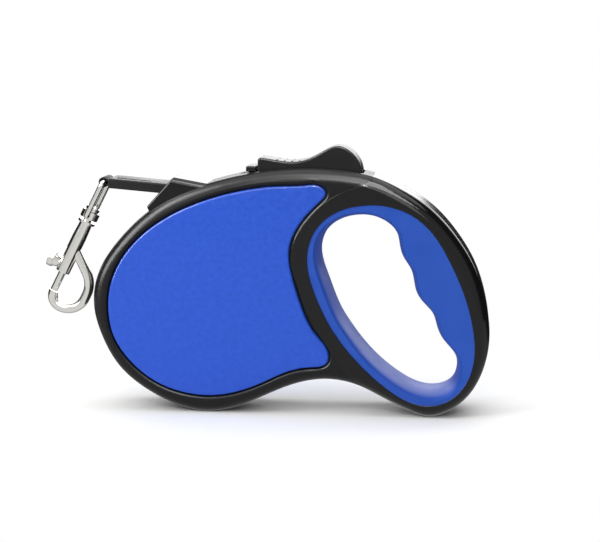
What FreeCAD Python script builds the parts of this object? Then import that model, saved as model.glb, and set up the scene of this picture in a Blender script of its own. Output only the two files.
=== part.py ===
import FreeCAD, Part
import math
import os

# A retractable dog leash: a two-shell case with a spring-driven tape reel, a looped handle with a
# soft grip, a brake button, a lock slider and a swivel snap hook on the end of the tape.
# X runs from the hook side to the handle, Z is up and the front faces -Y. The case stands on
# z = 0 and the reel's axle is above the origin.

os.makedirs("parts", exist_ok=True)
V = FreeCAD.Vector

# ---- driving dimensions, mm ----
HALF_CASE = 16.0            # half the thickness of the closed case
RIM_ROUND = 6.0             # rounding of the case's outer edge
COVER_RISE = 0.7            # the handle covers stand proud of the case by this much
COVER_SKIN = 2.3            # wall of the handle covers
CAVITY_HALF = 11.5          # half the clear width inside the case
SEAT_DEPTH = 2.0            # recess that holds a side panel
PANEL_GAP = 0.45            # gap between a side panel and the rim around it
PANEL_RISE = 17.1           # height of a panel's crown above the parting plane
PANEL_CROWN_RADIUS = 1500.0
CAVITY_MARGIN = 4.5         # the reel cavity is this much larger than a side panel
CORE_WALL = 1.8             # wall of the handle's hollow core
COVER_SPLIT_X = 81.0        # left of this the handle covers are only a thin overlay

AXLE_Z = 50.0
AXLE_RADIUS = 5.0
CHAMBER_RADIUS = 45.5
FLANGE_RADIUS = 44.5
TOOTH_ROOT = 40.5
TEETH = 18
TOOTH_GAP_DEGREES = 10.0
FLANGE_INNER = 7.6          # flange faces, measured from the parting plane
FLANGE_OUTER = 9.2
DRUM_RADIUS = 25.0
DRUM_BORE = 21.5
TAPE_WIDTH = 14.0
TAPE_THICK = 0.75
ROLL_RADIUS = 42.3
BEARING_GAP = 0.06
SEAM_HALF = 0.2             # half the width of the groove along the parting line
SEAM_DEPTH = 0.35
SEAM_FLOOR = 3.0            # the groove stops this far above the feet

BRAKE_TOOTH_ANGLE = 75.1    # where the brake finger meets the rear flange
LOCK_TOOTH_ANGLE = 47.4     # where the lock finger meets the front flange
BUTTON_PIN = V(66.0, 0, 109.7)
BUTTON_PIN_RADIUS = 1.5
BUTTON_HALF = 7.9
SLOT_HALF = 8.3
BUTTON_ROUND = 1.0

SLEEVE_INNER_END = V(-14.2, 0, 104.2)
SLEEVE_OUTER_END = V(-42.5, 0, 106.6)
SLEEVE_HALF_WIDTH = 9.0
SLEEVE_HALF_THICK = 2.3
SLEEVE_GAP = 0.4
GUIDE_BEND = V(-9.0, 0, 103.76)
GUIDE_PIN = V(-9.6, 0, 101.86)
GUIDE_PIN_RADIUS = 1.5
NOZZLE_HALF = 13.0
NOZZLE_TOP_ROUND = 3.0
NOZZLE_MOUTH_ROUND = 1.0
LOOP_HALF_WIDTH = 6.2       # the tape's sewn loop round the eye's bar
LOOP_RADIUS = 2.6
LOOP_BORE = 1.6

# the hook's own frame: its Z is the hook's axis, 0 at the eye's bar and negative downwards
EYE_BAR = V(-45.3, 0, 106.8)
HOOK_LEAN = 27.0            # the hook hangs this far from upright, resting on the case
EYE_WIRE = 1.3
EYE_HALF_WIDTH = 8.1
CROSSBAR = -18.0
COLLAR_RADIUS = 4.3
COLLAR_TOP = -16.1
COLLAR_BOTTOM = -19.8
STUD_RADIUS = 2.0
STUD_HEAD_RADIUS = 3.3
STUD_HEAD_THICK = 1.8
SHOULDER_RADIUS = 4.1
SHOULDER_TOP = -21.2
BARREL_TOP = -22.4
BARREL_NECK_RADIUS = 3.0
BARREL_TAPER_END = -30.0
BARREL_RADIUS = 3.35
BARREL_END = -48.8
BOLT_RADIUS = 1.7
BOLT_TOP = -40.2
BOLT_END = -58.9
KNOB_PLACE = -45.6
KNOB_RADIUS = 3.7
KNOB_NEAR = 6.0             # the knob's flat starts this far from the hook's axis
KNOB_THICK = 2.7
BOW_WIRE = 2.3

# ---- outlines as (x, z) points of smooth closed curves, clockwise from the left ----
CASE_OUTLINE = [
    (-50, 52), (-46.5, 67), (-36.5, 81.5), (-19, 97), (6, 107.7), (32, 113.3), (49, 114.5), (66, 113.8),
    (82, 110.9), (95, 105), (107, 97.3), (120, 83.3), (128.5, 69), (133.3, 54), (135.2, 39), (133, 23.5),
    (125.5, 9.2), (117, 2.4), (107.5, -0.3), (98, 2.4), (86, 8.2), (75, 13.5), (60, 16.2), (45, 13.5),
    (28, 6.2), (15, 1.2), (2.5, -0.4), (-9, 1.6), (-24, 8.6), (-38, 20.1), (-46.5, 35.3)]
PANEL_OUTLINE = [
    (-42, 51.3), (-38.3, 66.5), (-27.2, 81.7), (-3.5, 96.8), (21.6, 104.5), (37.2, 106.6), (50, 107.2),
    (57.4, 106.7), (59.9, 104), (56.6, 99), (48.6, 90.3), (44.4, 82.8), (43.0, 75.3), (43.9, 67.7),
    (48.1, 52.9), (55.4, 38.1), (61.4, 28.5), (60.6, 24.8), (51.9, 22.4), (30.4, 14.8), (11, 8.6),
    (-3.2, 8.7), (-18.8, 13.6), (-32.9, 24.8), (-39.9, 36.1)]
GRIP_OUTLINE = [
    (80.6, 98.6), (89.2, 97.8), (98.3, 94.5), (107.4, 87.3), (116.7, 72.8), (123.2, 58.2), (127.3, 43.4),
    (128.3, 28.6), (122.6, 13.4), (113.6, 6.8), (101.6, 6.5), (89.6, 12.6), (73.3, 27.3), (62.2, 42.1),
    (55.2, 56.9), (51.5, 71.7), (55.2, 86.6), (66, 95.6)]
HAND_OPENING = [
    (79.3, 92.8), (86.5, 90.3), (91.9, 84.9), (93.3, 79), (94.8, 74), (98.4, 68.2), (99.9, 63.2),
    (101.2, 57.4), (105, 52), (108.9, 47.4), (110.5, 42.8), (112.4, 37.6), (116.6, 32.2), (119.6, 28),
    (120.5, 22.5), (117.2, 13.9), (109.8, 10.9), (100.1, 12.8), (93.5, 16.5), (84, 24), (76.9, 31.5),
    (71.2, 39.1), (66.4, 46.6), (60.2, 61.8), (56.6, 76.9), (60, 86), (68, 91.5)]
COVER_EDGE = [
    (81, 116), (81, 111.8), (70.6, 105.6), (61.3, 100.8), (49.6, 89), (43.8, 74.8), (47.3, 60),
    (56.2, 40), (63.8, 28.1), (70.4, 19.4), (80.8, 11.8), (84, 4)]
NOZZLE_OUTLINE = [(-11.3, 109.9), (-23.5, 96.5), (-22.3, 93.9), (3.5, 102.8), (5, 107)]
CASE_SCREWS = [(51, 96), (55, 29), (129.3, 42), (98, 96.3), (107.5, 5.1)]
SCREW_RADIUS = 1.25
SCREW_HEAD_RADIUS = 2.0
SCREW_HEAD_FROM = 10.6
SCREW_HEAD_TO = 12.2
BOSS_RADIUS = 3.0


# ---- drawing helpers ----
def closed_wire(points):
    """A smooth closed curve through (x, z) points in the parting plane."""
    curve = Part.BSplineCurve()
    curve.interpolate([V(x, 0, z) for x, z in points], PeriodicFlag=True)
    return Part.Wire([curve.toShape()])


def offset_wire(wire, distance, y=0.0, samples=130):
    """A clockwise outline moved outward by distance, or inward when it is negative."""
    curve = wire.Edges[0].Curve
    first = curve.FirstParameter
    span = curve.LastParameter - first
    points = []
    for index in range(samples):
        at = first + span * index / samples
        along = curve.tangent(at)[0]
        points.append(curve.value(at) + V(-along.z, 0, along.x) * distance + V(0, y, 0))
    moved = Part.BSplineCurve()
    moved.interpolate(points, PeriodicFlag=True)
    return Part.Wire([moved.toShape()])


def slab(wire, y_from, y_to):
    """The solid between two y values with a flat wire of the parting plane as its outline."""
    solid = Part.Face(wire).extrude(V(0, y_to - y_from, 0))
    solid.translate(V(0, y_from, 0))
    return solid


def plate(points, y_from, y_to):
    """A straight-edged plate between two y values through (x, z) corners."""
    corners = [V(x, 0, z) for x, z in points]
    return slab(Part.makePolygon(corners + corners[:1]), y_from, y_to)


def box(x_from, x_to, y_from, y_to, z_from, z_to):
    return Part.makeBox(x_to - x_from, y_to - y_from, z_to - z_from, V(x_from, y_from, z_from))


def pin_y(x, z, radius, y_from, y_to):
    """A cylinder along Y."""
    return Part.makeCylinder(radius, y_to - y_from, V(x, y_from, z), V(0, 1, 0))


def ring_y(x, z, outer, inner, y_from, y_to):
    """A tube along Y."""
    return pin_y(x, z, outer, y_from, y_to).cut(pin_y(x, z, inner, y_from - 1, y_to + 1))


def edges_at_y(shape, y):
    """The edges that lie wholly in the plane at y."""
    found = []
    for edge in shape.Edges:
        bounds = edge.BoundBox
        if abs(bounds.YMin - y) < 0.01 and abs(bounds.YMax - y) < 0.01:
            found.append(edge)
    return found


def mirrored(shape):
    """The same piece for the other side of the parting plane."""
    return shape.mirror(V(0, 0, 0), V(0, 1, 0))


def save(shape, name):
    """Write one sub-part and print what it is, to catch open or empty shapes."""
    shape.exportStep("parts/" + name + ".step")
    print(name, "solids", len(shape.Solids), "valid", shape.isValid(), "cm3", round(shape.Volume / 1000, 2))


CASE_WIRE = closed_wire(CASE_OUTLINE)
PANEL_WIRE = closed_wire(PANEL_OUTLINE)
GRIP_WIRE = closed_wire(GRIP_OUTLINE)
HAND_WIRE = closed_wire(HAND_OPENING)
OUTWARD = (SLEEVE_OUTER_END - SLEEVE_INNER_END).normalize()     # the way the tape pulls out
SLEEVE_LENGTH = (SLEEVE_OUTER_END - SLEEVE_INNER_END).Length
CORE_DEPTH = HALF_CASE + COVER_RISE - COVER_SKIN      # handle core's face, under the cover plate
GRIP_CORE_HALF = 12.5                                 # handle core's half width inside the grip
GRIP_HALF = 16.4                                      # half width of the soft grip
GRIP_CORE_MARGIN = 2.0                                # the core reaches this far inside the grip's edge


# ---- the case ----
def front_block(half, rounding):
    """The front half of the case as one solid with its outer edge rounded."""
    block = slab(CASE_WIRE, -half, 0)
    return block.makeFillet(rounding, edges_at_y(block, -half))


def cover_envelope():
    """The front handle cover with no opening: a plate over the handle and a wall round it."""
    line = [V(x, 0, z) for x, z in COVER_EDGE]
    edge = Part.BSplineCurve()
    edge.interpolate(line)
    sides = Part.makePolygon([line[-1], V(line[-1].x, 0, -20), V(150, 0, -20), V(150, 0, 140),
                              V(line[0].x, 0, 140), line[0]])
    right_side = slab(Part.Wire([edge.toShape()] + sides.Edges), -HALF_CASE - 2, 0)
    cover = front_block(HALF_CASE + COVER_RISE, RIM_ROUND + COVER_RISE).common(right_side)
    inside = slab(offset_wire(CASE_WIRE, -COVER_SKIN), -CORE_DEPTH, 1)
    under_overlay = box(0, COVER_SPLIT_X, -CORE_DEPTH, 1, -10, 130)
    return cover.cut(inside).cut(under_overlay)


def handle_hollow():
    """The air space inside the handle's core, all the way round the grip."""
    outer = slab(offset_wire(cover_outline(), -COVER_SKIN - CORE_WALL), -CAVITY_HALF, 0)
    inner = slab(offset_wire(GRIP_WIRE, CORE_WALL - GRIP_CORE_MARGIN), -CAVITY_HALF - 1, 1)
    return outer.cut(inner)


def cover_outline():
    """A closed curve round the handle: the covers' edge on the left, the case on the right."""
    left = COVER_EDGE[-2:1:-1]
    right = [point for point in CASE_OUTLINE if point[0] > 86 and point[1] > -5]
    return closed_wire(left + right)


def button_pocket():
    """The slot in the top of the case that the brake button sinks into."""
    corners = [(27, 103), (58, 103), (70, 105.3), (76.6, 108.8), (76.6, 120), (27, 120)]
    return plate(corners, -SLOT_HALF, SLOT_HALF)


def lock_slot():
    """The slot that the lock slider's stem runs in, just ahead of the button."""
    return box(19, 27.1, -3.2, 3.2, 103, 120)


def nozzle_block():
    """The outlet's outer shape, set into both shells."""
    block = plate(NOZZLE_OUTLINE, -NOZZLE_HALF, NOZZLE_HALF)
    along_top = [edge for edge in block.Edges if edge.BoundBox.ZMin > 106 and edge.BoundBox.XLength > 10]
    block = block.makeFillet(NOZZLE_TOP_ROUND, along_top)
    mouth_corner = NOZZLE_OUTLINE[1]
    mouth_top = NOZZLE_OUTLINE[0]
    mouth_edges = []
    for edge in block.Edges:
        middle = edge.valueAt((edge.FirstParameter + edge.LastParameter) / 2)
        rise = (middle.x - mouth_corner[0]) / (mouth_top[0] - mouth_corner[0])
        on_mouth = abs(mouth_corner[1] + rise * (mouth_top[1] - mouth_corner[1]) - middle.z) < 0.01
        if on_mouth and edge.BoundBox.ZMax > 97:
            mouth_edges.append(edge)
    return block.makeFillet(NOZZLE_MOUTH_ROUND, mouth_edges)


def parting_groove():
    """The fine line where the two sides of the case meet, all the way round but for the feet."""
    ring = slab(offset_wire(CASE_WIRE, 1), -SEAM_HALF, SEAM_HALF)
    ring = ring.cut(slab(offset_wire(CASE_WIRE, -SEAM_DEPTH), -1, 1))
    return ring.cut(box(-80, 160, -2, 2, -10, SEAM_FLOOR))


def tape_strip(points, half_thick, half_width):
    """A flat strip that follows (x, z) points, with mitred bends."""
    upper = []
    lower = []
    for index, point in enumerate(points):
        before = points[max(index - 1, 0)]
        after = points[min(index + 1, len(points) - 1)]
        along = (after - before).normalize()
        side = V(-along.z, 0, along.x)
        first_run = (point - before) if index else (after - point)
        cosine = side.dot(V(-first_run.z, 0, first_run.x).normalize())
        upper.append(point + side * (half_thick / cosine))
        lower.append(point - side * (half_thick / cosine))
    corners = upper + lower[::-1]
    return slab(Part.makePolygon(corners + corners[:1]), -half_width, half_width)


def tape_route():
    """The tape's line from the roll's tangent point over the guide pin to the sleeve."""
    line_radius = ROLL_RADIUS + 0.3 + TAPE_THICK / 2
    reach = math.hypot(GUIDE_BEND.x, GUIDE_BEND.z - AXLE_Z)
    angle = math.atan2(GUIDE_BEND.z - AXLE_Z, GUIDE_BEND.x) - math.acos(line_radius / reach)
    tangent = V(line_radius * math.cos(angle), 0, AXLE_Z + line_radius * math.sin(angle))
    return [tangent, GUIDE_BEND, SLEEVE_INNER_END]


def sleeve_box(start, length, half_thick, half_width):
    """A bar along the sleeve's direction, from a point on its axis."""
    rise = V(OUTWARD.z, 0, -OUTWARD.x) * half_thick
    end = start + OUTWARD * length
    corners = [start + rise, end + rise, end - rise, start - rise]
    return slab(Part.makePolygon(corners + corners[:1]), -half_width, half_width)


def half_shell():
    """What the front and rear shells share, drawn as the front one."""
    shell = front_block(HALF_CASE, RIM_ROUND)
    seat = slab(offset_wire(PANEL_WIRE, PANEL_GAP), -HALF_CASE - 1, -HALF_CASE + SEAT_DEPTH)
    shell = shell.cut(seat)
    rim_edges = [edge for edge in edges_at_y(shell, -HALF_CASE) if edge.BoundBox.XMax < 75]
    shell = shell.makeFillet(1.5, rim_edges)
    shell = shell.cut(cover_envelope())
    shell = shell.cut(slab(offset_wire(PANEL_WIRE, CAVITY_MARGIN), -CAVITY_HALF, 1))
    shell = shell.cut(pin_y(0, AXLE_Z, CHAMBER_RADIUS, -CAVITY_HALF, 1))
    shell = shell.cut(handle_hollow())
    shell = shell.cut(slab(GRIP_WIRE, -HALF_CASE - 2, -GRIP_CORE_HALF))
    shell = shell.fuse(ring_y(0, AXLE_Z, 8.5, AXLE_RADIUS + 0.03, -CAVITY_HALF - 0.5, -FLANGE_OUTER - 0.4))
    spring_shelf = box(36.5, 44.5, -CAVITY_HALF - 0.5, 0, 95.4, 97.6)
    shell = shell.fuse(spring_shelf)
    for x, z in CASE_SCREWS:
        shell = shell.fuse(pin_y(x, z, BOSS_RADIUS, -CAVITY_HALF - 0.5, 0))
    shell = shell.cut(slab(offset_wire(GRIP_WIRE, -GRIP_CORE_MARGIN), -HALF_CASE - 2, 1))
    shell = shell.cut(button_pocket())
    shell = shell.cut(lock_slot())
    shell = shell.cut(plate(NOZZLE_OUTLINE, -NOZZLE_HALF, NOZZLE_HALF))
    shell = shell.cut(pin_y(BUTTON_PIN.x, BUTTON_PIN.z, BUTTON_PIN_RADIUS, -11, 1))
    shell = shell.cut(parting_groove())
    return shell.cut(box(-80, 160, -40, 40, -10, 0))


def front_shell():
    shell = half_shell()
    for x, z in CASE_SCREWS:
        shell = shell.cut(pin_y(x, z, SCREW_RADIUS, -9.2, 1))
    return shell


def rear_shell():
    shell = mirrored(half_shell())
    for x, z in CASE_SCREWS:
        shell = shell.cut(pin_y(x, z, SCREW_RADIUS + 0.15, -1, 15))
        shell = shell.cut(pin_y(x, z, SCREW_HEAD_RADIUS + 0.3, SCREW_HEAD_FROM, 17))
    shell = shell.cut(pin_y(0, AXLE_Z, 1.6, 5, 17))
    return shell.cut(pin_y(0, AXLE_Z, 3.4, 12.4, 17))


def case_screws():
    """Five pan-head screws that hold the shells together, under the rear panel and cover."""
    screws = []
    for x, z in CASE_SCREWS:
        head = pin_y(x, z, SCREW_HEAD_RADIUS, SCREW_HEAD_FROM, SCREW_HEAD_TO)
        recess = box(x - 1.2, x + 1.2, SCREW_HEAD_TO - 0.6, SCREW_HEAD_TO + 1, z - 0.3, z + 0.3)
        cross = box(x - 0.3, x + 0.3, SCREW_HEAD_TO - 0.6, SCREW_HEAD_TO + 1, z - 1.2, z + 1.2)
        screw = head.fuse(pin_y(x, z, SCREW_RADIUS, -9, SCREW_HEAD_FROM))
        screws.append(screw.cut(recess).cut(cross))
    return Part.makeCompound(screws)


def front_panel():
    """The domed side panel, with a rounded edge."""
    panel = slab(PANEL_WIRE, -HALF_CASE - 3, -HALF_CASE + SEAT_DEPTH)
    crown = Part.makeSphere(PANEL_CROWN_RADIUS, V(5, PANEL_CROWN_RADIUS - PANEL_RISE, 55))
    panel = panel.common(crown)
    rim = [edge for edge in panel.Edges if edge.BoundBox.YMin < -HALF_CASE + 1 and edge.Length > 100]
    return panel.makeFillet(1.1, rim)


def front_handle_cover():
    cover = cover_envelope().cut(slab(GRIP_WIRE, -HALF_CASE - 2, 1))
    cover = cover.cut(parting_groove())
    return cover.cut(box(-80, 160, -40, 40, -10, 0))


def grip_liner():
    """The soft grip: waisted like an hourglass inside, with finger waves on the rear side."""
    waist = GRIP_HALF + 0.4
    flare = 3.2
    sections = []
    for y in (-GRIP_HALF, -15, -12, -6, 0, 6, 12, 15, GRIP_HALF):
        growth = flare * (1 - math.sqrt(1 - (y / waist) ** 2))
        sections.append(offset_wire(HAND_WIRE, growth, y, 72))
    grip = slab(GRIP_WIRE, -GRIP_HALF, GRIP_HALF).cut(Part.makeLoft(sections, True, False))
    core = slab(GRIP_WIRE, -GRIP_CORE_HALF, GRIP_CORE_HALF)
    core = core.cut(slab(offset_wire(GRIP_WIRE, -GRIP_CORE_MARGIN), -HALF_CASE, HALF_CASE))
    return grip.cut(core)


# ---- the tape outlet ----
def outlet_nozzle():
    """The glossy mouth piece: a funnel for the sleeve, a slot for the tape, a hole for the pin."""
    nozzle = nozzle_block()
    funnel_start = SLEEVE_INNER_END - OUTWARD * SLEEVE_GAP
    nozzle = nozzle.cut(sleeve_box(funnel_start, 30, SLEEVE_HALF_THICK + SLEEVE_GAP,
                                   SLEEVE_HALF_WIDTH + SLEEVE_GAP))
    nozzle = nozzle.cut(tape_strip(tape_route(), 1.2, TAPE_WIDTH / 2 + 0.4))
    return nozzle.cut(pin_y(GUIDE_PIN.x, GUIDE_PIN.z, GUIDE_PIN_RADIUS, -11.5, 11.5))


def guide_pin():
    return pin_y(GUIDE_PIN.x, GUIDE_PIN.z, GUIDE_PIN_RADIUS, -11.5, 11.5)


# ---- the reel ----
def tooth_gap(angle, y_from, y_to):
    """One notch in a flange's rim, a little wider at its mouth."""
    corners = []
    for radius, half_turn in ((TOOTH_ROOT, 0.42), (FLANGE_RADIUS + 2, 0.55),
                              (FLANGE_RADIUS + 2, -0.55), (TOOTH_ROOT, -0.42)):
        turn = math.radians(angle + half_turn * TOOTH_GAP_DEGREES)
        corners.append((radius * math.cos(turn), AXLE_Z + radius * math.sin(turn)))
    return plate(corners, y_from - 1, y_to + 1)


def toothed_flange(phase, y_from, y_to):
    flange = ring_y(0, AXLE_Z, FLANGE_RADIUS, AXLE_RADIUS + BEARING_GAP, y_from, y_to)
    for tooth in range(TEETH):
        flange = flange.cut(tooth_gap(phase + tooth * 360.0 / TEETH, y_from, y_to))
    return flange


def cap_screw_places():
    places = []
    for third in range(3):
        turn = math.radians(30 + 120 * third)
        places.append((23.3 * math.cos(turn), AXLE_Z + 23.3 * math.sin(turn)))
    return places


def spool():
    """The reel's rear flange and drum, moulded in one."""
    drum = ring_y(0, AXLE_Z, DRUM_RADIUS, DRUM_BORE, -FLANGE_INNER, FLANGE_INNER)
    reel = drum.fuse(toothed_flange(BRAKE_TOOTH_ANGLE, FLANGE_INNER, FLANGE_OUTER))
    for x, z in cap_screw_places():
        reel = reel.cut(pin_y(x, z, 1.0, -FLANGE_INNER - 1, -1))
    return reel


def spool_cap():
    """The reel's front flange, which closes the spring housing."""
    cap = toothed_flange(LOCK_TOOTH_ANGLE, -FLANGE_OUTER, -FLANGE_INNER)
    for x, z in cap_screw_places():
        cap = cap.cut(pin_y(x, z, 1.1, -FLANGE_OUTER - 1, -FLANGE_INNER + 1))
    return cap


def cap_screws():
    screws = []
    for x, z in cap_screw_places():
        head = pin_y(x, z, 1.9, -FLANGE_OUTER - 1, -FLANGE_OUTER)
        screws.append(head.fuse(pin_y(x, z, 1.0, -FLANGE_OUTER, -2)))
    return Part.makeCompound(screws)


def spiral_edge(inner, outer, turns):
    """One side of the coiled spring, as a spiral about the axle."""
    points = []
    steps = int(turns * 16)
    for step in range(steps + 1):
        turn = 2 * math.pi * turns * step / steps
        radius = inner + (outer - inner) * step / steps
        points.append(V(radius * math.cos(turn), 0, AXLE_Z + radius * math.sin(turn)))
    curve = Part.BSplineCurve()
    curve.interpolate(points)
    return curve.toShape()


def power_spring():
    """The flat coil spring that winds the tape back, drawn with fewer and thicker turns."""
    thick = 0.8
    near = spiral_edge(5.8, 20.2, 7)
    far = spiral_edge(5.8 + thick, 20.2 + thick, 7)
    ends = []
    for index in (0, -1):
        ends.append(Part.makeLine(near.Vertexes[index].Point, far.Vertexes[index].Point))
    strip = Part.Face(Part.Wire(Part.__sortEdges__([near, ends[1], far, ends[0]])))
    solid = strip.extrude(V(0, 13, 0))
    solid.translate(V(0, -6.5, 0))
    return solid


def tape_roll():
    return ring_y(0, AXLE_Z, ROLL_RADIUS, DRUM_RADIUS, -TAPE_WIDTH / 2, TAPE_WIDTH / 2)


def reel_axle():
    """The fixed axle, with a slit for the spring's inner end and a hole for its screw."""
    axle = pin_y(0, AXLE_Z, AXLE_RADIUS, -CAVITY_HALF, CAVITY_HALF)
    axle = axle.cut(box(-0.5, 0.5, -7, -3, AXLE_Z - 6, AXLE_Z + 6))
    return axle.cut(pin_y(0, AXLE_Z, 1.5, -2, CAVITY_HALF + 1))


def axle_screw():
    head = pin_y(0, AXLE_Z, 3.2, 12.4, 13.9)
    recess = box(-2, 2, 13.2, 15, AXLE_Z - 0.35, AXLE_Z + 0.35)
    cross = box(-0.35, 0.35, 13.2, 15, AXLE_Z - 2, AXLE_Z + 2)
    return head.fuse(pin_y(0, AXLE_Z, 1.5, -1.8, 12.4)).cut(recess).cut(cross)


# ---- the brake and the lock ----
def brake_button():
    """The thumb button. It rocks on the pin under its hump and carries the brake finger."""
    crown = Part.BSplineCurve()
    crown_points = [(29.2, 119), (36.7, 117.9), (45, 117.3), (53.2, 119.5), (61.4, 123.9),
                    (65, 124.7), (70.4, 122.4), (74, 118.4), (75.8, 112.6)]
    crown.interpolate([V(x, 0, z) for x, z in crown_points])
    nose = Part.Arc(V(27.6, 0, 117.4), V(28.0, 0, 118.6), V(29.2, 0, 119)).toShape()
    under = Part.makePolygon([V(75.8, 0, 112.6), V(74.6, 0, 110.6), V(69.5, 0, 109), V(62, 0, 107),
                              V(27.6, 0, 107.4), V(27.6, 0, 117.4)])
    button = slab(Part.Wire([nose, crown.toShape()] + under.Edges), -BUTTON_HALF, BUTTON_HALF)
    sharp = []
    for edge in edges_at_y(button, -BUTTON_HALF) + edges_at_y(button, BUTTON_HALF):
        if edge.BoundBox.ZMax > 117:
            sharp.append(edge)
    button = button.makeFillet(BUTTON_ROUND, sharp)
    for x in (36.5, 40, 43.5, 47, 50.5):
        rise = 117.15 + 0.0125 * (x - 43.5) ** 2
        button = button.fuse(pin_y(x, rise, 0.5, -BUTTON_HALF + 2, BUTTON_HALF - 2))
    button = button.fuse(pin_y(BUTTON_PIN.x, BUTTON_PIN.z, 3.4, -BUTTON_HALF, BUTTON_HALF))
    finger = [(34, 108.4), (34, 103.5), (30, 100.5), (13, 97.6), (12.6, 94.3), (9.6, 94.3), (9.4, 99.5),
              (26, 104), (28, 108.4)]
    button = button.fuse(plate(finger, 7.5, 9.5))
    return button.cut(pin_y(BUTTON_PIN.x, BUTTON_PIN.z, BUTTON_PIN_RADIUS + BEARING_GAP, -20, 20))


def button_pin():
    return pin_y(BUTTON_PIN.x, BUTTON_PIN.z, BUTTON_PIN_RADIUS, -11, 11)


def helix_spring(radius, wire, pitch, height):
    """An open compression spring standing on the origin along +Z."""
    path = Part.makeHelix(pitch, height, radius)
    profile = Part.Wire([Part.makeCircle(wire, V(radius, 0, 0), V(0, 1, 0))])
    return Part.Wire(path).makePipeShell([profile], True, True)


def button_spring():
    spring = helix_spring(2.8, 0.4, 2.6, 8.6)
    spring.translate(V(40.5, 0, 98.1))
    return spring


def lock_slider():
    """The thumb tab ahead of the button. Its leg reaches down to the front flange's teeth."""
    tab = box(22.2, 26.6, -7.5, 7.5, 112.65, 115.1)
    tab = tab.makeFillet(0.7, [edge for edge in tab.Edges if edge.BoundBox.ZMin > 112.7])
    stem = box(22.8, 25.8, -3, 3, 105.4, 112.8)
    bridge = box(22.8, 25.8, -9.5, 3, 105.4, 107.4)
    leg = [(22.8, 107.4), (25.8, 107.4), (25.8, 100), (35.2, 88), (35.2, 81.4), (32.2, 81.4),
           (32.2, 86.6), (22.8, 98.6)]
    return tab.fuse(stem).fuse(bridge).fuse(plate(leg, -9.5, -7.5))


# ---- the tape and its sleeve ----
def tape_run():
    return tape_strip(tape_route(), TAPE_THICK / 2, TAPE_WIDTH / 2)


def tape_stop():
    """The stiff sleeve that stops the tape's end at the nozzle."""
    sleeve = sleeve_box(SLEEVE_INNER_END, SLEEVE_LENGTH, SLEEVE_HALF_THICK, SLEEVE_HALF_WIDTH)
    sleeve = sleeve.makeFillet(0.8, [edge for edge in sleeve.Edges if edge.Length > 17])
    slot_start = SLEEVE_INNER_END - OUTWARD
    return sleeve.cut(sleeve_box(slot_start, SLEEVE_LENGTH + 2, 0.8, TAPE_WIDTH / 2 + 0.1))


def tape_end():
    """The tape through the sleeve and its sewn loop round the eye's bar."""
    loop = pin_y(EYE_BAR.x, EYE_BAR.z, LOOP_RADIUS, -LOOP_HALF_WIDTH, LOOP_HALF_WIDTH)
    strap = sleeve_box(SLEEVE_INNER_END, SLEEVE_LENGTH + 1.6, TAPE_THICK, LOOP_HALF_WIDTH)
    bore = pin_y(EYE_BAR.x, EYE_BAR.z, LOOP_BORE, -LOOP_HALF_WIDTH - 1, LOOP_HALF_WIDTH + 1)
    return loop.fuse(strap).cut(bore)


# ---- the snap hook ----
def placed(shape):
    """A hook piece moved from its own frame to where it hangs."""
    lean = FreeCAD.Rotation(V(0, 1, 0), HOOK_LEAN)
    shape.Placement = FreeCAD.Placement(EYE_BAR, lean).multiply(shape.Placement)
    return shape


def rod_along_axis(radius, z_from, z_to):
    """A cylinder on the hook's own axis."""
    return Part.makeCylinder(radius, z_to - z_from, V(0, 0, z_from))


def rounded_path(corners, radii):
    """Straight runs through the corners, joined by tangent arcs."""
    edges = []
    start = corners[0]
    for index in range(1, len(corners) - 1):
        corner = corners[index]
        back = (corners[index - 1] - corner).normalize()
        ahead = (corners[index + 1] - corner).normalize()
        half_turn = back.getAngle(ahead) / 2
        reach = radii[index - 1] / math.tan(half_turn)
        middle = (back + ahead).normalize()
        centre = corner + middle * (radii[index - 1] / math.sin(half_turn))
        enter = corner + back * reach
        leave = corner + ahead * reach
        edges.append(Part.makeLine(start, enter))
        edges.append(Part.Arc(enter, centre - middle * radii[index - 1], leave).toShape())
        start = leave
    edges.append(Part.makeLine(start, corners[-1]))
    return Part.Wire(edges)


def rod(corners, radii, radius):
    """A round wire bent along a path."""
    path = rounded_path(corners, radii)
    along = (corners[1] - corners[0]).normalize()
    profile = Part.Wire([Part.makeCircle(radius, corners[0], along)])
    return path.makePipeShell([profile], True, False)


def hook_eye():
    """The oblong eye that the tape's loop holds; its crossbar is the collar that the hook turns in."""
    corners = [V(0, 2.5, CROSSBAR), V(0, EYE_HALF_WIDTH, CROSSBAR), V(0, EYE_HALF_WIDTH, 0),
               V(0, -EYE_HALF_WIDTH, 0), V(0, -EYE_HALF_WIDTH, CROSSBAR), V(0, -2.5, CROSSBAR)]
    eye = rod(corners, [2.2, 2.4, 2.4, 2.2], EYE_WIRE)
    eye = eye.fuse(rod_along_axis(COLLAR_RADIUS, COLLAR_BOTTOM, COLLAR_TOP))
    eye = eye.cut(rod_along_axis(STUD_RADIUS + BEARING_GAP, COLLAR_BOTTOM - 1, COLLAR_TOP + 1))
    return placed(eye)


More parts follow.
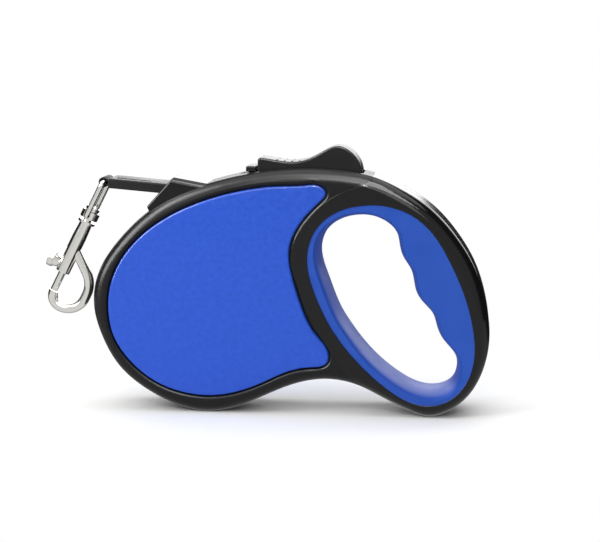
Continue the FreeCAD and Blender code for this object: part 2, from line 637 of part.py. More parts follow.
def hook_body():
    """The barrel with its swivel stud and the bow, cast in one."""
    head_bottom = COLLAR_TOP + 0.15
    body = rod_along_axis(STUD_RADIUS, BARREL_TOP, head_bottom)
    body = body.fuse(rod_along_axis(STUD_HEAD_RADIUS, head_bottom, head_bottom + STUD_HEAD_THICK))
    body = body.fuse(rod_along_axis(SHOULDER_RADIUS, BARREL_TOP, SHOULDER_TOP))
    taper = Part.makeCone(BARREL_RADIUS, BARREL_NECK_RADIUS, BARREL_TOP - BARREL_TAPER_END,
                          V(0, 0, BARREL_TAPER_END))
    body = body.fuse(taper).fuse(rod_along_axis(BARREL_RADIUS, BARREL_END, BARREL_TAPER_END))
    bow = rod([V(1, 0, -36.5), V(15.2, 0, -47.7), V(15.2, 0, -64.9), V(0.2, 0, -64.9), V(0.2, 0, -59.2)],
              [12, 9.3, 5.6], BOW_WIRE)
    body = body.fuse(bow)
    body = body.cut(rod_along_axis(BOLT_RADIUS + BEARING_GAP, BARREL_END - 0.5, BARREL_TOP - 4))
    knob_slot = box(-6, 0, -1.7, 1.7, KNOB_PLACE - 1.7, KNOB_PLACE + 8.9)
    return placed(body.cut(knob_slot))


def hook_bolt():
    """The sliding bolt with its thumb knob."""
    bolt = rod_along_axis(BOLT_RADIUS, BOLT_END, BOLT_TOP)
    stem = Part.makeCylinder(1.5, KNOB_NEAR, V(-KNOB_NEAR, 0, KNOB_PLACE), V(1, 0, 0))
    flare = Part.makeCone(2.4, 3.1, 2.4, V(-3.6, 0, KNOB_PLACE), V(-1, 0, 0))
    knob = Part.makeCylinder(KNOB_RADIUS, KNOB_THICK, V(-KNOB_NEAR, 0, KNOB_PLACE), V(-1, 0, 0))
    knob = knob.makeFillet(0.5, [edge for edge in knob.Edges if edge.BoundBox.XLength < 0.1])
    return placed(bolt.fuse(stem).fuse(flare).fuse(knob))


def bolt_spring():
    spring = helix_spring(1.25, 0.25, 1.4, 9.6)
    spring.translate(V(0, 0, BOLT_TOP + 1))
    return placed(spring)


save(front_shell(), "front_shell")
save(rear_shell(), "rear_shell")
save(front_panel(), "front_panel")
save(mirrored(front_panel()), "rear_panel")
save(front_handle_cover(), "front_handle_cover")
save(mirrored(front_handle_cover()), "rear_handle_cover")
save(grip_liner(), "grip_liner")
save(case_screws(), "case_screws")
save(outlet_nozzle(), "outlet_nozzle")
save(guide_pin(), "guide_pin")
save(reel_axle(), "reel_axle")
save(axle_screw(), "axle_screw")
save(spool(), "spool")
save(spool_cap(), "spool_cap")
save(cap_screws(), "cap_screws")
save(power_spring(), "power_spring")
save(tape_roll(), "tape_roll")
save(tape_run(), "tape_run")
save(brake_button(), "brake_button")
save(button_pin(), "button_pin")
save(button_spring(), "button_spring")
save(lock_slider(), "lock_slider")
save(tape_stop(), "tape_stop")
save(tape_end(), "tape_end")
save(hook_eye(), "hook_eye")
save(hook_body(), "hook_body")
save(hook_bolt(), "hook_bolt")
save(bolt_spring(), "bolt_spring")
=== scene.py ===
import math

import bmesh
import bpy
from mathutils import Matrix, Vector


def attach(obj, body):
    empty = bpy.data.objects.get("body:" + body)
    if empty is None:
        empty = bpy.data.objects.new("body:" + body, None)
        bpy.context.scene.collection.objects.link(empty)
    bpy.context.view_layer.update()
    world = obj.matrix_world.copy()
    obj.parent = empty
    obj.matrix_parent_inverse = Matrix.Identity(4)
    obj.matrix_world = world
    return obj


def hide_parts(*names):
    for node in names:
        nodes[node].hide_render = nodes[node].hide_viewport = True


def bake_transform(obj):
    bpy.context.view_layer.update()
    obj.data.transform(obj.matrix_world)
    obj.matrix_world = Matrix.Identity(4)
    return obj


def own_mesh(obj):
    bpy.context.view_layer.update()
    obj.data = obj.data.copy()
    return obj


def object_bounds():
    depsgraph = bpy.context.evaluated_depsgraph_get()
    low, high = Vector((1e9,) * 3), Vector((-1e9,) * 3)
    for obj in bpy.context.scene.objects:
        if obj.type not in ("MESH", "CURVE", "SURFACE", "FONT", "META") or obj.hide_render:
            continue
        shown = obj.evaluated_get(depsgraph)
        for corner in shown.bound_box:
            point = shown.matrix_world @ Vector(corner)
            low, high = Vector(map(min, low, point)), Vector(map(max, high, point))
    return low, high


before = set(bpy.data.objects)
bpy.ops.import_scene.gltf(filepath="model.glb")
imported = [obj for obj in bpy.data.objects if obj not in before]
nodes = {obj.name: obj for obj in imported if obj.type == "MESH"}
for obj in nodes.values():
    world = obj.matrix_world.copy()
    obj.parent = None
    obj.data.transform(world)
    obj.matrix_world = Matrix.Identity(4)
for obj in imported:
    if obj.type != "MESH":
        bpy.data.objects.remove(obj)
cad_low, cad_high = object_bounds()
bpy.ops.object.select_all(action="DESELECT")


# ---- The studio ----------------------------------------------------------------------------------
# A white table under a big soft lamp, with a bright wall of light behind it and a gentle fill from
# the front. Mirrors see the air bright in front and dark behind. The table's reflection is painted:
# in mirrors it glows bright in front and dark behind, as if black cloth hung there.
# Seen by the camera, the far table fades to white.
TABLE_SIDE = 1.7
TABLE_DROP = 0.0002
# Painted reflection on the table: where along Y its glow fades, and how bright it glows in mirrors.
PAINTED_REFLECTION_START, PAINTED_REFLECTION_END = -0.02, 0.10
PAINTED_REFLECTION_BRIGHT, PAINTED_REFLECTION_DARK = 0.72, 0.02
FADE_MIDDLE = (0.025, 0, 0)
FADE_SQUEEZE = (0.5, 1, 0)
FADE_START, FADE_END = 0.045, 0.15
CARD_START, CARD_END = -0.50, -0.15
CARD_BRIGHT, CARD_DARK = 0.80, 0.02
VIEW_AZIMUTH = math.radians(6.0)
VIEW_ELEVATION = math.radians(9.0)
VIEW_DISTANCE = 0.70
VIEW_LENS = 89.4
VIEW_AIM = Vector((0.0465, 0, 0.0653))


def spread(owner, source, low, high, source_low=0.3, source_high=0.7):
    """Turns a pattern's range, or its middle range, into values between low and high."""
    tree = owner.node_tree
    span_node = tree.nodes.new("ShaderNodeMapRange")
    ends = {"From Min": source_low, "From Max": source_high, "To Min": low, "To Max": high}
    for socket, value in ends.items():
        span_node.inputs[socket].default_value = value
    tree.links.new(source, span_node.inputs["Value"])
    return span_node.outputs["Result"]


def mixed(owner, share, first, second):
    """Two shaders mixed: a share of 0 is all the first and 1 is all the second."""
    tree = owner.node_tree
    mix = tree.nodes.new("ShaderNodeMixShader")
    for socket, source in enumerate((share, first, second)):
        tree.links.new(source, mix.inputs[socket])
    return mix.outputs[0]


bpy.ops.mesh.primitive_plane_add(size=TABLE_SIDE, location=(0, 0, cad_low.z - TABLE_DROP))
table = bpy.context.object
table.name = "studio_table"

table_paint = bpy.data.materials.new("pale_table")
table_paint.use_nodes = True
table_nodes, table_links = table_paint.node_tree.nodes, table_paint.node_tree.links
table_shader = table_nodes["Principled BSDF"]
table_shader.inputs["Base Color"].default_value = (0.93, 0.93, 0.92, 1)
table_shader.inputs["Roughness"].default_value = 0.8
table_shader.inputs["Specular IOR Level"].default_value = 0.1
table_place = table_nodes.new("ShaderNodeTexCoord").outputs["Object"]
table_ray = table_nodes.new("ShaderNodeLightPath")

table_axes = table_nodes.new("ShaderNodeSeparateXYZ")
table_links.new(table_place, table_axes.inputs[0])
# Painted reflection: seen in mirrors the table glows, bright in front and dark behind.
painted_table_reflection = table_nodes.new("ShaderNodeEmission")
table_links.new(
    spread(table_paint, table_axes.outputs["Y"], PAINTED_REFLECTION_BRIGHT, PAINTED_REFLECTION_DARK, PAINTED_REFLECTION_START, PAINTED_REFLECTION_END),
    painted_table_reflection.inputs["Strength"])
near_table = mixed(table_paint, table_ray.outputs["Is Glossy Ray"],
                   table_shader.outputs[0], painted_table_reflection.outputs[0])

table_oval = table_nodes.new("ShaderNodeVectorMath")
table_oval.operation = "MULTIPLY"
table_oval.inputs[1].default_value = FADE_SQUEEZE
table_links.new(table_place, table_oval.inputs[0])
table_reach = table_nodes.new("ShaderNodeVectorMath")
table_reach.operation = "DISTANCE"
table_reach.inputs[1].default_value = FADE_MIDDLE
table_links.new(table_oval.outputs[0], table_reach.inputs[0])
seen_far = table_nodes.new("ShaderNodeMath")
seen_far.operation = "MULTIPLY"
table_links.new(
    spread(table_paint, table_reach.outputs["Value"], 0, 1, FADE_START, FADE_END),
    seen_far.inputs[0])
table_links.new(table_ray.outputs["Is Camera Ray"], seen_far.inputs[1])
white_table = table_nodes.new("ShaderNodeEmission")
white_table.inputs["Strength"].default_value = 1.0
table_links.new(
    mixed(table_paint, seen_far.outputs[0], near_table, white_table.outputs[0]),
    table_nodes["Material Output"].inputs["Surface"])
table.data.materials.append(table_paint)


def soft_lamp(name, place, aim, width, height, watts):
    """A rectangular soft lamp that points at what it lights; the camera doesn't see it."""
    lamp = bpy.data.lights.new(name, "AREA")
    lamp.shape = "RECTANGLE"
    lamp.size = width
    lamp.size_y = height
    lamp.energy = watts
    holder = bpy.data.objects.new(name, lamp)
    bpy.context.scene.collection.objects.link(holder)
    holder.location = place
    holder.rotation_euler = (Vector(aim) - Vector(place)).to_track_quat("-Z", "Y").to_euler()
    holder.visible_camera = False
    return holder


leash_middle = (cad_low + cad_high) / 2
soft_lamp("overhead_lamp", (0.02, 0.02, 0.85), leash_middle, 1.3, 0.9, 8.5)
soft_lamp("rear_wall_lamp", (0.05, 1.5, 0.62), leash_middle, 2.6, 0.9, 17.0)
soft_lamp("left_key_lamp", (-0.62, -0.50, 0.62), leash_middle, 0.35, 0.55, 3.0)
soft_lamp("front_fill_lamp", (0.15, -1.25, 0.95), leash_middle, 1.2, 0.7, 7.0)

# Three more lamps give only reflections, and only on the CAD nodes that aren't the hook.
gleam_lamps = [
    soft_lamp("left_gleam", (-0.74, -0.37, 0.57), leash_middle, 0.45, 1.0, 22.0),
    soft_lamp("front_top_gleam", (0.26, -0.55, 1.00), leash_middle, 0.70, 0.60, 14.0),
    soft_lamp("front_gleam", (0.10, -1.20, 0.90), leash_middle, 0.25, 0.18, 7.0),
]
plastics = bpy.data.collections.new("plastics")
for name, node in nodes.items():
    if not name.startswith("hook"):
        plastics.objects.link(node)
for gleam in gleam_lamps:
    gleam.visible_diffuse = False
    gleam.light_linking.receiver_collection = plastics

sky = bpy.data.worlds.new("studio_air")
sky.use_nodes = True
bpy.context.scene.world = sky
sky_nodes, sky_links = sky.node_tree.nodes, sky.node_tree.links
seen_air = sky_nodes["Background"]
seen_air.inputs["Color"].default_value = (1, 1, 1, 1)
lit_air = sky_nodes.new("ShaderNodeBackground")
lit_air.inputs["Color"].default_value = (0.07, 0.07, 0.075, 1)
air_ray = sky_nodes.new("ShaderNodeLightPath")
air_axes = sky_nodes.new("ShaderNodeSeparateXYZ")
sky_links.new(sky_nodes.new("ShaderNodeTexCoord").outputs["Generated"], air_axes.inputs[0])
mirrored_air = sky_nodes.new("ShaderNodeBackground")
sky_links.new(
    spread(sky, air_axes.outputs["Y"], CARD_BRIGHT, CARD_DARK, CARD_START, CARD_END),
    mirrored_air.inputs["Strength"])
unseen_air = mixed(sky, air_ray.outputs["Is Glossy Ray"],
                   lit_air.outputs[0], mirrored_air.outputs[0])
sky_links.new(
    mixed(sky, air_ray.outputs["Is Camera Ray"], unseen_air, seen_air.outputs[0]),
    sky_nodes["World Output"].inputs["Surface"])

bpy.context.scene.view_settings.view_transform = "Standard"

camera = bpy.data.objects.new("camera", bpy.data.cameras.new("camera"))
bpy.context.scene.collection.objects.link(camera)
bpy.context.scene.camera = camera
camera.data.lens = VIEW_LENS
towards_camera = Vector((
    math.sin(VIEW_AZIMUTH) * math.cos(VIEW_ELEVATION),
    -math.cos(VIEW_AZIMUTH) * math.cos(VIEW_ELEVATION),
    math.sin(VIEW_ELEVATION),
))
camera.location = VIEW_AIM + VIEW_DISTANCE * towards_camera
camera.rotation_euler = (-towards_camera).to_track_quat("-Z", "Y").to_euler()


# ---- The case shells -----------------------------------------------------------------------------
# Two halves of black ABS, moulded and joined on the middle plane. The mould was spark-eroded, so
# the rim is satin, with a fine even texture and a slightly uneven sheen.
def new_finish(name, colour, roughness):
    """A material with one Principled shader; its plain values are set on the shader itself."""
    finish = bpy.data.materials.new(name)
    finish.use_nodes = True
    shader = finish.node_tree.nodes["Principled BSDF"]
    shader.inputs["Base Color"].default_value = (*colour, 1)
    shader.inputs["Roughness"].default_value = roughness
    return finish, shader


def own_place(finish, stretch=(1, 1, 1)):
    """The piece's own coordinates, stretched, for a pattern to follow."""
    tree = finish.node_tree
    place = tree.nodes.new("ShaderNodeTexCoord")
    mapping = tree.nodes.new("ShaderNodeMapping")
    mapping.inputs["Scale"].default_value = stretch
    tree.links.new(place.outputs["Object"], mapping.inputs["Vector"])
    return mapping.outputs["Vector"]


def speckle(finish, place, per_metre, detail=2.0):
    """A soft noise with that many cells in a metre."""
    noise = finish.node_tree.nodes.new("ShaderNodeTexNoise")
    noise.inputs["Scale"].default_value = per_metre
    noise.inputs["Detail"].default_value = detail
    finish.node_tree.links.new(place, noise.inputs["Vector"])
    return noise.outputs["Fac"]


def two_tones(finish, shader, source, dark, light):
    """Varies the base colour between two close tones."""
    tree = finish.node_tree
    tones = tree.nodes.new("ShaderNodeMix")
    tones.data_type = "RGBA"
    tones.inputs["A"].default_value = (*dark, 1)
    tones.inputs["B"].default_value = (*light, 1)
    tree.links.new(source, tones.inputs["Factor"])
    tree.links.new(tones.outputs["Result"], shader.inputs["Base Color"])


def raise_surface(finish, shader, height, depth, strength=1.0):
    """Adds a relief that many metres deep; a second call adds to the first."""
    tree = finish.node_tree
    bump = tree.nodes.new("ShaderNodeBump")
    bump.inputs["Distance"].default_value = depth
    bump.inputs["Strength"].default_value = strength
    tree.links.new(height, bump.inputs["Height"])
    if shader.inputs["Normal"].is_linked:
        tree.links.new(shader.inputs["Normal"].links[0].from_socket, bump.inputs["Normal"])
    tree.links.new(bump.outputs["Normal"], shader.inputs["Normal"])


def dress(finish, *names):
    """Gives CAD nodes that finish."""
    for name in names:
        nodes[name].material_slots[0].material = finish


shell_satin, shader = new_finish("shell_satin", (0.010, 0.010, 0.011), 0.30)
place = own_place(shell_satin)
erosion = speckle(shell_satin, place, 1500, 3)
raise_surface(shell_satin, shader, erosion, 0.00003, 0.35)
sheen_patches = speckle(shell_satin, place, 60, 4)
shell_satin.node_tree.links.new(
    spread(shell_satin, sheen_patches, 0.25, 0.34), shader.inputs["Roughness"])
two_tones(shell_satin, shader, erosion, (0.006, 0.006, 0.007), (0.010, 0.010, 0.011))
shader.inputs["Specular IOR Level"].default_value = 0.22
dress(shell_satin, "front_shell", "rear_shell")


# ---- The side panels -----------------------------------------------------------------------------
# A blue panel in a recess of each shell, moulded with a fine leather grain and a rolled edge.
panel_leather, shader = new_finish("panel_leather", (0.012, 0.086, 0.60), 0.42)
place = own_place(panel_leather)
pebbles = panel_leather.node_tree.nodes.new("ShaderNodeTexVoronoi")
pebbles.feature = "SMOOTH_F1"
pebbles.inputs["Scale"].default_value = 800
pebbles.inputs["Smoothness"].default_value = 0.6
panel_leather.node_tree.links.new(place, pebbles.inputs["Vector"])
creases = speckle(panel_leather, place, 420, 5)
raise_surface(panel_leather, shader, pebbles.outputs["Distance"], 0.0002, 0.6)
raise_surface(panel_leather, shader, creases, 0.00006, 0.5)
two_tones(panel_leather, shader, creases, (0.008, 0.070, 0.52), (0.018, 0.104, 0.70))
panel_leather.node_tree.links.new(
    spread(panel_leather, creases, 0.36, 0.50), shader.inputs["Roughness"])
shader.inputs["Specular IOR Level"].default_value = 0.15
shader.inputs["Coat Weight"].default_value = 0.5
shader.inputs["Coat Roughness"].default_value = 0.10
dress(panel_leather, "front_panel", "rear_panel")


# ---- The handle covers and the outlet nozzle -----------------------------------------------------
# Piano-black covers clip over the handle loop, one each side; the nozzle is from the same polished
# plastic. The polish is even, with a trace of orange peel and some dust-fine haze.
def soften_edges(finish, shader, radius):
    """Gives a moulded piece's sharp corners the small round that catches the light."""
    rounding = finish.node_tree.nodes.new("ShaderNodeBevel")
    rounding.samples = 6
    rounding.inputs["Radius"].default_value = radius
    finish.node_tree.links.new(rounding.outputs["Normal"], shader.inputs["Normal"])


cover_gloss, shader = new_finish("cover_gloss", (0.006, 0.006, 0.007), 0.09)
soften_edges(cover_gloss, shader, 0.0005)
place = own_place(cover_gloss)
peel = speckle(cover_gloss, place, 160, 1)
raise_surface(cover_gloss, shader, peel, 0.00004, 0.08)
haze = speckle(cover_gloss, place, 45, 5)
cover_gloss.node_tree.links.new(
    spread(cover_gloss, haze, 0.08, 0.13), shader.inputs["Roughness"])
shader.inputs["Specular IOR Level"].default_value = 0.3
dress(cover_gloss, "front_handle_cover", "rear_handle_cover", "outlet_nozzle")


# ---- The grip liner ------------------------------------------------------------------------------
# One ring of soft blue rubber, moulded over the handle's core, with finger waves on its rear side.
grip_rubber, shader = new_finish("grip_rubber", (0.013, 0.080, 0.47), 0.46)
place = own_place(grip_rubber)
skin = speckle(grip_rubber, place, 2600, 2)
raise_surface(grip_rubber, shader, skin, 0.00002, 0.3)
rubbing = speckle(grip_rubber, place, 70, 4)
grip_rubber.node_tree.links.new(
    spread(grip_rubber, rubbing, 0.36, 0.48), shader.inputs["Roughness"])
two_tones(grip_rubber, shader, rubbing, (0.011, 0.075, 0.44), (0.016, 0.086, 0.50))
shader.inputs["Sheen Weight"].default_value = 0.08
shader.inputs["Sheen Roughness"].default_value = 0.4
shader.inputs["Specular IOR Level"].default_value = 0.25
dress(grip_rubber, "grip_liner")


# ---- Steel pins, screws and the power spring -----------------------------------------------------
# Zinc-plated steel: turned pins, small cross-head screws and the flat spring coiled in the drum.
plated_steel, shader = new_finish("plated_steel", (0.55, 0.56, 0.58), 0.28)
shader.inputs["Metallic"].default_value = 1.0
place = own_place(plated_steel)
drawing_lines = speckle(plated_steel, own_place(plated_steel, (1, 12, 1)), 400, 3)
raise_surface(plated_steel, shader, drawing_lines, 0.00001, 0.4)
dull_patches = speckle(plated_steel, place, 220, 3)
plated_steel.node_tree.links.new(
    spread(plated_steel, dull_patches, 0.20, 0.38), shader.inputs["Roughness"])
dress(plated_steel,
      "case_screws", "guide_pin", "axle_screw", "cap_screws", "power_spring", "button_pin")


# ---- The reel ------------------------------------------------------------------------------------
# The axle, the drum and its two notched flanges are of grey nylon, plain off the mould.
reel_nylon, shader = new_finish("reel_nylon", (0.30, 0.30, 0.31), 0.5)
place = own_place(reel_nylon)
mould_skin = speckle(reel_nylon, place, 900, 3)
raise_surface(reel_nylon, shader, mould_skin, 0.00003, 0.4)
two_tones(reel_nylon, shader, mould_skin, (0.27, 0.27, 0.28), (0.33, 0.33, 0.34))
dress(reel_nylon, "reel_axle", "spool", "spool_cap")


# ---- The wound tape ------------------------------------------------------------------------------
# Flat black nylon webbing, woven plain, wound in many turns on the drum. Seen from the side its
# edges make fine rings.
AXLE_HEIGHT = 0.05

wound_webbing, shader = new_finish("wound_webbing", (0.012, 0.012, 0.013), 0.62)
turns = wound_webbing.node_tree.nodes.new("ShaderNodeTexWave")
turns.wave_type = "RINGS"
turns.rings_direction = "Y"
turns.inputs["Scale"].default_value = 420
turns.inputs["Distortion"].default_value = 0.8
axle_place = wound_webbing.node_tree.nodes.new("ShaderNodeMapping")
axle_place.inputs["Location"].default_value = (0, 0, -AXLE_HEIGHT)
wound_webbing.node_tree.links.new(own_place(wound_webbing), axle_place.inputs["Vector"])
wound_webbing.node_tree.links.new(axle_place.outputs["Vector"], turns.inputs["Vector"])
raise_surface(wound_webbing, shader, turns.outputs["Fac"], 0.00012, 0.6)
two_tones(wound_webbing, shader, turns.outputs["Fac"], (0.007, 0.007, 0.008), (0.020, 0.020, 0.022))
shader.inputs["Sheen Weight"].default_value = 0.15
dress(wound_webbing, "tape_roll")


# ---- The tape from the roll to the sleeve --------------------------------------------------------
# The same webbing leaves the roll, turns over the steel guide pin and enters the sleeve. It has
# rounded selvedges.
def plain_weave(name, along, across):
    """Nylon webbing with ribs across its length and fine warp lines along it."""
    cloth, shader = new_finish(name, (0.012, 0.012, 0.013), 0.6)
    tree = cloth.node_tree
    place = own_place(cloth)
    ribs = tree.nodes.new("ShaderNodeTexWave")
    ribs.bands_direction = along
    ribs.inputs["Scale"].default_value = 330
    ribs.inputs["Distortion"].default_value = 0.4
    warp = tree.nodes.new("ShaderNodeTexWave")
    warp.bands_direction = across
    warp.inputs["Scale"].default_value = 520
    warp.inputs["Distortion"].default_value = 0.4
    tree.links.new(place, ribs.inputs["Vector"])
    tree.links.new(place, warp.inputs["Vector"])
    crossing = tree.nodes.new("ShaderNodeMath")
    crossing.operation = "MULTIPLY"
    tree.links.new(ribs.outputs["Fac"], crossing.inputs[0])
    tree.links.new(warp.outputs["Fac"], crossing.inputs[1])
    raise_surface(cloth, shader, crossing.outputs[0], 0.00018, 0.7)
    two_tones(cloth, shader, crossing.outputs[0], (0.007, 0.007, 0.008), (0.026, 0.026, 0.028))
    shader.inputs["Sheen Weight"].default_value = 0.2
    return cloth


def start_piece(name, primitive, **settings):
    """Adds a primitive as a new piece, with its mesh open for editing and nothing picked."""
    if bpy.context.object and bpy.context.object.mode != "OBJECT":
        bpy.ops.object.mode_set(mode="OBJECT")
    bpy.ops.object.select_all(action="DESELECT")
    primitive(**settings)
    piece = bpy.context.object
    piece.name = piece.data.name = name
    bpy.ops.object.transform_apply(location=True, rotation=True, scale=True)
    bpy.ops.object.mode_set(mode="EDIT")
    bpy.ops.mesh.select_all(action="DESELECT")
    return piece


def pick(piece, wanted, kind="VERT"):
    """Selects only the vertices, edges or faces whose middle meets a condition."""
    bpy.ops.mesh.select_mode(type=kind)
    bpy.ops.mesh.select_all(action="DESELECT")
    mesh = bmesh.from_edit_mesh(piece.data)
    if kind == "VERT":
        found = [part for part in mesh.verts if wanted(part.co)]
    elif kind == "EDGE":
        found = [part for part in mesh.edges if wanted((part.verts[0].co + part.verts[1].co) / 2)]
    else:
        found = [part for part in mesh.faces if wanted(part.calc_center_median())]
    for part in found:
        part.select_set(True)
    mesh.select_flush_mode()
    bmesh.update_edit_mesh(piece.data)


def apply_modifier(piece, kind, **settings):
    """Adds a modifier to a piece out of edit mode, sets it and applies it."""
    if piece.mode != "OBJECT":
        bpy.ops.object.mode_set(mode="OBJECT")
    bpy.context.view_layer.objects.active = piece
    modifier = piece.modifiers.new(kind.lower(), kind)
    for setting, value in settings.items():
        setattr(modifier, setting, value)
    bpy.ops.object.modifier_apply(modifier=modifier.name)


def smooth_and_dress(piece, finish, angle=35):
    """Smooth shading up to an angle between faces, and the piece's finish and slot."""
    if piece.mode != "OBJECT":
        bpy.ops.object.mode_set(mode="OBJECT")
    bpy.ops.object.select_all(action="DESELECT")
    piece.select_set(True)
    bpy.context.view_layer.objects.active = piece
    bpy.ops.object.shade_smooth_by_angle(angle=math.radians(angle))
    piece.data.materials.clear()
    piece.data.materials.append(finish)


TAPE_WIDTH = 0.014
TAPE_THICK = 0.00075
ROLL_TANGENT = Vector((0.02048, 0, 0.08778))
GUIDE_TURN = Vector((-0.0090, 0, 0.10376))
SLEEVE_MOUTH = Vector((-0.0142, 0, 0.1042))
GUIDE_ROUND = 0.0016
STRETCH_STEPS = 30
SELVEDGE_ROUND = 0.0002
HAIR = 0.0001

strand = start_piece("tape_strand", bpy.ops.mesh.primitive_plane_add, size=TAPE_WIDTH)
pick(strand, lambda at: at.x > 0)
bpy.ops.mesh.delete(type="VERT")
pick(strand, lambda at: at.x < 0)
bpy.ops.transform.translate(value=ROLL_TANGENT + Vector((TAPE_WIDTH / 2, 0, 0)))
for step in (GUIDE_TURN - ROLL_TANGENT, SLEEVE_MOUTH - GUIDE_TURN):
    bpy.ops.mesh.extrude_region_move(TRANSFORM_OT_translate={"value": step})
pick(strand, lambda at: (at - GUIDE_TURN).length < HAIR, "EDGE")
bpy.ops.mesh.bevel(offset=GUIDE_ROUND, segments=6)
pick(strand,
     lambda at: at.x < GUIDE_TURN.x - GUIDE_ROUND + 2 * HAIR and abs(at.y) > TAPE_WIDTH / 2 - HAIR,
     "EDGE")
bpy.ops.mesh.subdivide(number_cuts=STRETCH_STEPS)
bpy.ops.mesh.select_all(action="SELECT")
bpy.ops.mesh.normals_make_consistent(inside=False)
apply_modifier(strand, "SOLIDIFY", thickness=TAPE_THICK, offset=0)
apply_modifier(strand, "BEVEL", width=SELVEDGE_ROUND, segments=2, limit_method="ANGLE",
               angle_limit=math.radians(60))
smooth_and_dress(strand, plain_weave("strand_webbing", "X", "Y"))
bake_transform(strand)
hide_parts("tape_run")


# ---- The sleeve ----------------------------------------------------------------------------------
# A stiff black plastic sleeve is clamped on the tape's end. It is a flat box with softened edges, a
# row of moulding pips in a shallow channel on top and fine grip lines on its two narrow faces.
SLEEVE_LENGTH = 0.0284
SLEEVE_HEIGHT = 0.0046
SLEEVE_WIDTH = 0.018
SLEEVE_MIDDLE = Vector((-0.02835, 0, 0.1054))
SLEEVE_SLOPE = math.radians(4.847)
SLEEVE_ROUND = 0.0006
SLIT_WIDTH = TAPE_WIDTH + 0.0002
SLIT_HEIGHT = 0.0016
CHANNEL_MIDDLE = Vector((-0.0030, -0.0040, SLEEVE_HEIGHT / 2))
CHANNEL_SIZE = (0.0162, 0.0026, 0.0005)
PIPS = 8
PIP_SPACING = 0.0018
PIP_RADIUS = 0.00055
PIP_DEPTH = 0.0012
GRIP_LINES = 9
GRIP_SPACING = 0.0009
GRIP_START = 0.0028
GRIP_SIZE = (0.0003, 0.0004, 0.0026)


def carve(piece, cutter):
    """Cuts another mesh out of a piece and removes that other mesh."""
    if bpy.context.object.mode != "OBJECT":
        bpy.ops.object.mode_set(mode="OBJECT")
    apply_modifier(piece, "BOOLEAN", operation="DIFFERENCE", object=cutter, solver="EXACT")
    bpy.data.objects.remove(cutter, do_unlink=True)
    bpy.ops.object.select_all(action="DESELECT")
    piece.select_set(True)
    bpy.context.view_layer.objects.active = piece


sleeve = start_piece("sleeve_body", bpy.ops.mesh.primitive_cube_add, size=1,
                     scale=(SLEEVE_LENGTH, SLEEVE_WIDTH, SLEEVE_HEIGHT))
bpy.ops.mesh.select_all(action="SELECT")
bpy.ops.mesh.bevel(offset=SLEEVE_ROUND, segments=3)
slit = start_piece("sleeve_slit", bpy.ops.mesh.primitive_cube_add, size=1,
                   scale=(SLEEVE_LENGTH * 1.2, SLIT_WIDTH, SLIT_HEIGHT))
carve(sleeve, slit)
channel = start_piece("sleeve_channel", bpy.ops.mesh.primitive_cube_add, size=1,
                      location=CHANNEL_MIDDLE, scale=CHANNEL_SIZE)
carve(sleeve, channel)
for index in range(PIPS):
    along = Vector(((index - (PIPS - 1) / 2) * PIP_SPACING, 0, 0))
    pip = start_piece("sleeve_pip", bpy.ops.mesh.primitive_cylinder_add, vertices=20,
                      radius=PIP_RADIUS, depth=PIP_DEPTH, location=CHANNEL_MIDDLE + along)
    carve(sleeve, pip)
for index in range(GRIP_LINES):
    for side in (-1, 1):
        line = start_piece(
            "sleeve_line", bpy.ops.mesh.primitive_cube_add, size=1,
            location=(GRIP_START + index * GRIP_SPACING, side * SLEEVE_WIDTH / 2, 0),
            scale=GRIP_SIZE)
        carve(sleeve, line)
apply_modifier(sleeve, "BEVEL", width=0.00012, segments=2, limit_method="ANGLE",
               angle_limit=math.radians(50))
sleeve.data.transform(Matrix.Translation(SLEEVE_MIDDLE) @ Matrix.Rotation(SLEEVE_SLOPE, 4, "Y"))

sleeve_satin, shader = new_finish("sleeve_satin", (0.013, 0.013, 0.014), 0.36)
place = own_place(sleeve_satin)
sleeve_grain = speckle(sleeve_satin, place, 1900, 3)
raise_surface(sleeve_satin, shader, sleeve_grain, 0.00003, 0.4)
two_tones(sleeve_satin, shader, sleeve_grain, (0.010, 0.010, 0.011), (0.018, 0.018, 0.019))
sleeve_rubs = speckle(sleeve_satin, place, 120, 4)
sleeve_satin.node_tree.links.new(
    spread(sleeve_satin, sleeve_rubs, 0.30, 0.42), shader.inputs["Roughness"])
shader.inputs["Specular IOR Level"].default_value = 0.3
smooth_and_dress(sleeve, sleeve_satin, 40)
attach(sleeve, "lead")
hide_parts("tape_stop")


# ---- The tape's sewn loop ------------------------------------------------------------------------
# Past the sleeve the tape wraps round the eye's bar and comes back on itself, folded a little
# narrower, with both layers held in the sleeve.
LOOP_WIDTH = 0.0124
LOOP_TURN = 0.00205
EYE_BAR = Vector((-0.0453, 0, 0.1068))
LAYER_APART = 0.00038
NECK = 0.0030

loop = start_piece("tape_loop", bpy.ops.mesh.primitive_circle_add, vertices=40, radius=LOOP_TURN,
                   rotation=(math.radians(90), 0, 0), location=(0, -LOOP_WIDTH / 2, 0))
pick(loop, lambda at: at.x > LOOP_TURN * 0.72)
bpy.ops.mesh.delete(type="VERT")
for side in (1, -1):
    mesh = bmesh.from_edit_mesh(loop.data)
    places = [vert.co.copy() for vert in mesh.verts if vert.co.z * side > 0]
    tip = max(places, key=lambda at: at.x)
    pick(loop, lambda at: (at - tip).length < HAIR / 5)
    neck = Vector((NECK, tip.y, side * LAYER_APART))
    bpy.ops.mesh.extrude_region_move(TRANSFORM_OT_translate={"value": neck - tip})
    bpy.ops.mesh.extrude_region_move(TRANSFORM_OT_translate={"value": (SLEEVE_LENGTH, 0, 0)})
bpy.ops.mesh.select_all(action="SELECT")
bpy.ops.mesh.extrude_region_move(TRANSFORM_OT_translate={"value": (0, LOOP_WIDTH, 0)})
bpy.ops.mesh.select_all(action="SELECT")
bpy.ops.mesh.normals_make_consistent(inside=False)
apply_modifier(loop, "SOLIDIFY", thickness=TAPE_THICK * 0.9, offset=0)
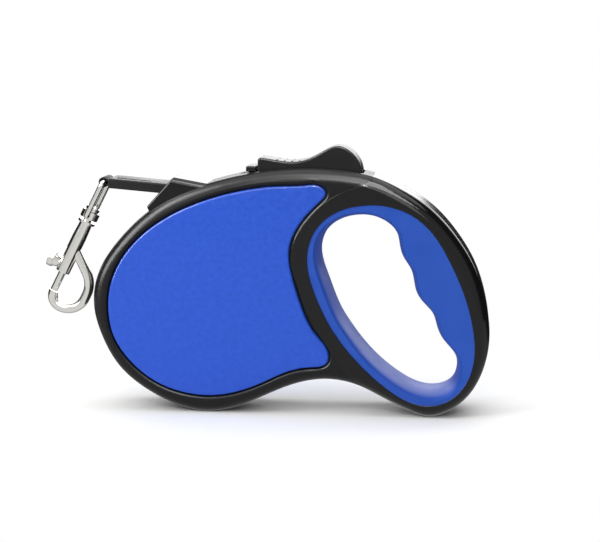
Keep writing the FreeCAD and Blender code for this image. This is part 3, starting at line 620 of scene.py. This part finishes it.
apply_modifier(loop, "BEVEL", width=0.00018, segments=2, limit_method="ANGLE",
               angle_limit=math.radians(60))
loop.data.transform(Matrix.Translation(EYE_BAR) @ Matrix.Rotation(SLEEVE_SLOPE, 4, "Y"))
smooth_and_dress(loop, plain_weave("loop_webbing", "X", "Y"), 50)
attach(loop, "lead")
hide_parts("tape_end")


# ---- The brake button and the lock slider --------------------------------------------------------
# Satin black plastic with crisp moulded edges; thumbs polish the button's saddle a little.
button_satin, shader = new_finish("button_satin", (0.008, 0.008, 0.009), 0.34)
soften_edges(button_satin, shader, 0.0004)
place = own_place(button_satin)
button_grain = speckle(button_satin, place, 1700, 3)
raise_surface(button_satin, shader, button_grain, 0.00003, 0.4)
thumb_polish = speckle(button_satin, place, 90, 4)
button_satin.node_tree.links.new(
    spread(button_satin, thumb_polish, 0.20, 0.30), shader.inputs["Roughness"])
two_tones(button_satin, shader, button_grain, (0.006, 0.006, 0.007), (0.010, 0.010, 0.011))
shader.inputs["Specular IOR Level"].default_value = 0.3
dress(button_satin, "brake_button", "lock_slider")


# ---- The springs under the button and behind the bolt --------------------------------------------
# Two open compression springs of drawn steel wire.
SWING_LEAN = math.radians(27)
BUTTON_SPRING_FOOT = Vector((0.0405, 0, 0.0981))
BUTTON_WIRE = 0.0004
BOLT_SPRING_FOOT = -0.0392


def wire_spring(name, radius, wire, pitch, height, place):
    """A helical spring of round wire that stands on its own origin, put in its place."""
    spring = start_piece(name, bpy.ops.mesh.primitive_circle_add, vertices=14, radius=wire,
                         rotation=(math.radians(90), 0, 0), location=(radius, 0, 0))
    turns = height / pitch
    apply_modifier(spring, "SCREW", axis="Z", angle=2 * math.pi * turns, screw_offset=height,
                   steps=round(30 * turns), render_steps=round(30 * turns), use_smooth_shade=True)
    bpy.ops.object.mode_set(mode="EDIT")
    bpy.ops.mesh.select_all(action="SELECT")
    bpy.ops.mesh.fill_holes(sides=0)
    bpy.ops.mesh.select_all(action="SELECT")
    bpy.ops.mesh.normals_make_consistent(inside=False)
    bpy.ops.object.mode_set(mode="OBJECT")
    spring.data.transform(place)
    return spring


coil = wire_spring("button_coil", radius=0.0028, wire=BUTTON_WIRE, pitch=0.0026, height=0.0086,
                   place=Matrix.Translation(BUTTON_SPRING_FOOT))
smooth_and_dress(coil, plated_steel)
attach(coil, "case")
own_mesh(coil)
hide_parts("button_spring")

hook_axis = Vector((math.sin(SWING_LEAN), 0, math.cos(SWING_LEAN)))
lean = Matrix.Rotation(SWING_LEAN, 4, "Y")
coil = wire_spring("bolt_coil", radius=0.00125, wire=0.00025, pitch=0.0014, height=0.0096,
                   place=Matrix.Translation(EYE_BAR + hook_axis * BOLT_SPRING_FOOT) @ lean)
smooth_and_dress(coil, plated_steel)
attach(coil, "hook")
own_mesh(coil)
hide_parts("bolt_spring")


# ---- The snap hook -------------------------------------------------------------------------------
# Cast zinc, barrelled and chrome-plated: the eye, the barrel with its bow, and the thumb bolt.
bright_chrome, shader = new_finish("bright_chrome", (0.88, 0.87, 0.83), 0.10)
shader.inputs["Metallic"].default_value = 1.0
place = own_place(bright_chrome)
casting = speckle(bright_chrome, place, 190, 2)
raise_surface(bright_chrome, shader, casting, 0.00010, 0.15)
plating_haze = speckle(bright_chrome, place, 500, 4)
bright_chrome.node_tree.links.new(
    spread(bright_chrome, plating_haze, 0.07, 0.18), shader.inputs["Roughness"])
dress(bright_chrome, "hook_eye", "hook_body", "hook_bolt")
